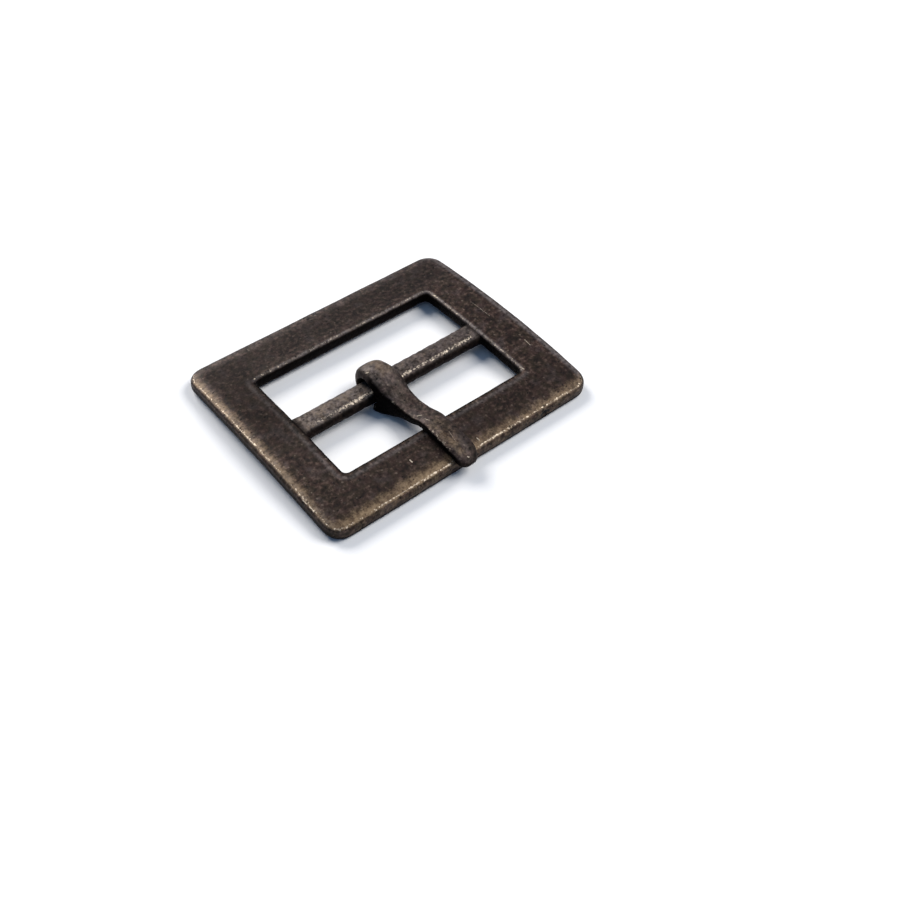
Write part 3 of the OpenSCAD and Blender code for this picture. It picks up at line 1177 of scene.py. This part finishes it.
        # Painted shade inside the hole
        if math.hypot(ahead, spot.z - self.hinge_z) < self.hole_shade_radius:
            return WearAndPaintedLight(patina_and_shade=1.0)
        half, shift = self.width_at(ahead)
        # From -1 at the left side to 1 at the right one
        side = (spot.x - self.place_x - shift) / half
        top, tongue, eye = ramp(normal.z, 0.15, 0.7), ramp(ahead, 7.5, 11.5), ramp(ahead, 2.5, 0.0)
        spared_tip = 0.5 * ramp(ahead, 13.0, 14.5)
        # Rubbed brass on the top, fading towards the right side as painted shade
        rubbed = top * (0.20 + 0.20 * tongue + 0.10 * eye) * ramp(side, 1.0, 0.3) * (1 - spared_tip)
        # Painted highlight streak along the tongue's ridge
        ridge_highlight = 0.60 * tongue * ramp(ahead, 15.5, 14.0) * top * ridge(side, -0.40, 0.75)
        eye_patch = 0.60 * eye * top * ridge(side, 0.1, 1.0)
        # Painted highlight along the left edge
        crest_highlight = ridge(side, -0.84, 0.30) * ramp(normal.z, 0.1, 0.5) * (0.34 + 0.12 * tongue)
        # Painted shade on the left side
        left_side_shade = ramp(-normal.x, 0.3 + 0.25 * tongue, 0.75 + 0.17 * tongue)
        left_side_shade *= 0.45 + 0.55 * ramp(ahead, -0.4, 0.9)
        # Painted shade on the right side
        right_side_shade = 0.45 * ramp(normal.x, 0.3, 0.8)
        # Painted shade on the tongue's right half
        right_half_shade = 0.50 * tongue * ramp(side, 0.15, 0.75)
        # Painted shade on the front of the tip
        nose_shade = ramp(ahead, 14.4, 15.0) * ramp(normal.z, 0.5, 0.1) * 0.6
        # Painted shade underneath
        underside = 0.5 * ramp(-normal.z, 0.0, 0.5)
        patina_and_shade = max(left_side_shade, right_side_shade, right_half_shade, nose_shade, underside)
        # Painted grey sheen on the top, strongest on the eye
        pale = top * (0.08 + 0.26 * eye + 0.10 * ridge(side, -0.5, 0.5))
        return WearAndPaintedLight(max(rubbed, ridge_highlight, eye_patch), crest_highlight, patina_and_shade, pale)

    def build(self, finish: AntiqueFinish, groups: SurfaceGroups) -> bpy.types.Object:
        """Build, drill and dress the prong."""
        piece = self.body()
        self.combine(piece, self.hole(), Join.CUT)
        made = replace(finish, marks=self.landed(piece, self.marks))
        self.dress(piece, made.material(groups), "prong")
        return piece


@dataclass(frozen=True)
class Lamp:
    """A soft round lamp: where it hangs, in metres, how wide it is and how strong."""

    name: str
    place: Point
    size: float
    power: float
    tint: tuple[float, float, float]


@dataclass
class Studio:
    """The pale floor, the soft lights and the camera of the photograph."""

    # The camera: its place in mm and its axes
    camera_place: Point = (-51.944, -71.507, 89.476)
    right: Point = (0.77232594, -0.63499598, 0.01710995)
    up: Point = (0.46707655, 0.58593395, 0.66220911)
    back: Point = (-0.43052542, -0.50344962, 0.74912372)
    focal_px: float = 1085.63
    sensor_mm: float = 36.0
    clip_start: float = 0.001
    clip_end: float = 10.0
    floor_half: float = 0.6
    paper: Colour = (0.9, 0.905, 0.91, 1.0)
    paper_roughness: float = 0.9
    paper_gloss: float = 0.1
    world: Colour = (0.105, 0.16, 0.255, 1.0)
    backdrop: Colour = (1.0, 1.0, 1.0, 1.0)
    lamps: tuple[Lamp, ...] = (
        Lamp("back", (-0.025, 0.728, 0.529), 0.56, 8.8, (1.0, 0.955, 0.90)),
        Lamp("right", (0.580, -0.234, 0.647), 0.60, 7.2, (1.0, 0.965, 0.92)),
    )

    def floor(self) -> bpy.types.Object:
        """Build the plain floor.

        Returns:
            The floor.
        """
        mesh = bmesh.new()
        bmesh.ops.create_grid(mesh, x_segments=1, y_segments=1, size=self.floor_half)
        data = bpy.data.meshes.new("floor")
        mesh.to_mesh(data)
        mesh.free()
        made = placed("floor", data)
        paper = bpy.data.materials.new("pale_paper")
        paper.use_nodes = True
        shader = paper.node_tree.nodes["Principled BSDF"]
        shader.inputs["Base Color"].default_value = self.paper
        shader.inputs["Roughness"].default_value = self.paper_roughness
        shader.inputs["Specular IOR Level"].default_value = self.paper_gloss
        made.data.materials.append(paper)
        return made

    def light(self) -> None:
        """Hang the lamps and set the sky, which the camera sees as the plain backdrop."""
        for lamp in self.lamps:
            data = bpy.data.lights.new(lamp.name, "AREA")
            data.shape = "DISK"
            data.size = lamp.size
            data.energy = lamp.power
            data.color = lamp.tint
            made = placed(lamp.name, data)
            made.location = lamp.place
            made.rotation_euler = (-Vector(lamp.place)).to_track_quat("-Z", "Y").to_euler()
        sky = bpy.context.scene.world or bpy.data.worlds.new("sky")
        bpy.context.scene.world = sky
        sky.use_nodes = True
        sky.node_tree.nodes.clear()
        graph = Graph(sky.node_tree)
        ray = graph.node("ShaderNodeLightPath").outputs["Is Camera Ray"]
        colour = graph.mix(ray, self.world, self.backdrop)
        shade = graph.node("ShaderNodeBackground", {"Color": colour, "Strength": 1.0})
        graph.node("ShaderNodeOutputWorld", {"Surface": shade.outputs[0]})

    def camera(self) -> None:
        """Place the camera where the photograph was taken from."""
        data = bpy.data.cameras.new("photo_camera")
        data.sensor_width = self.sensor_mm
        data.lens = self.focal_px / PHOTO_SIZE * self.sensor_mm
        data.clip_start = self.clip_start
        data.clip_end = self.clip_end
        made = placed("photo_camera", data)
        turn = Matrix((self.right, self.up, self.back)).transposed().to_4x4()
        made.matrix_world = Matrix.Translation(Vector(self.camera_place) * MM) @ turn
        bpy.context.scene.camera = made

    def build(self) -> None:
        """Set up floor, lights, camera and plain colour handling."""
        self.floor()
        self.light()
        self.camera()
        bpy.context.scene.view_settings.view_transform = "Standard"
        log.info("studio set")


def main() -> None:
    """Build the buckle and its studio."""
    groups = SurfaceGroups()
    FrameCasting().build(AntiqueFinish("antique_frame"), groups)
    ProngCasting().build(AntiqueFinish("antique_prong"), groups)
    Studio().build()


if __name__ == "__main__":
    main()
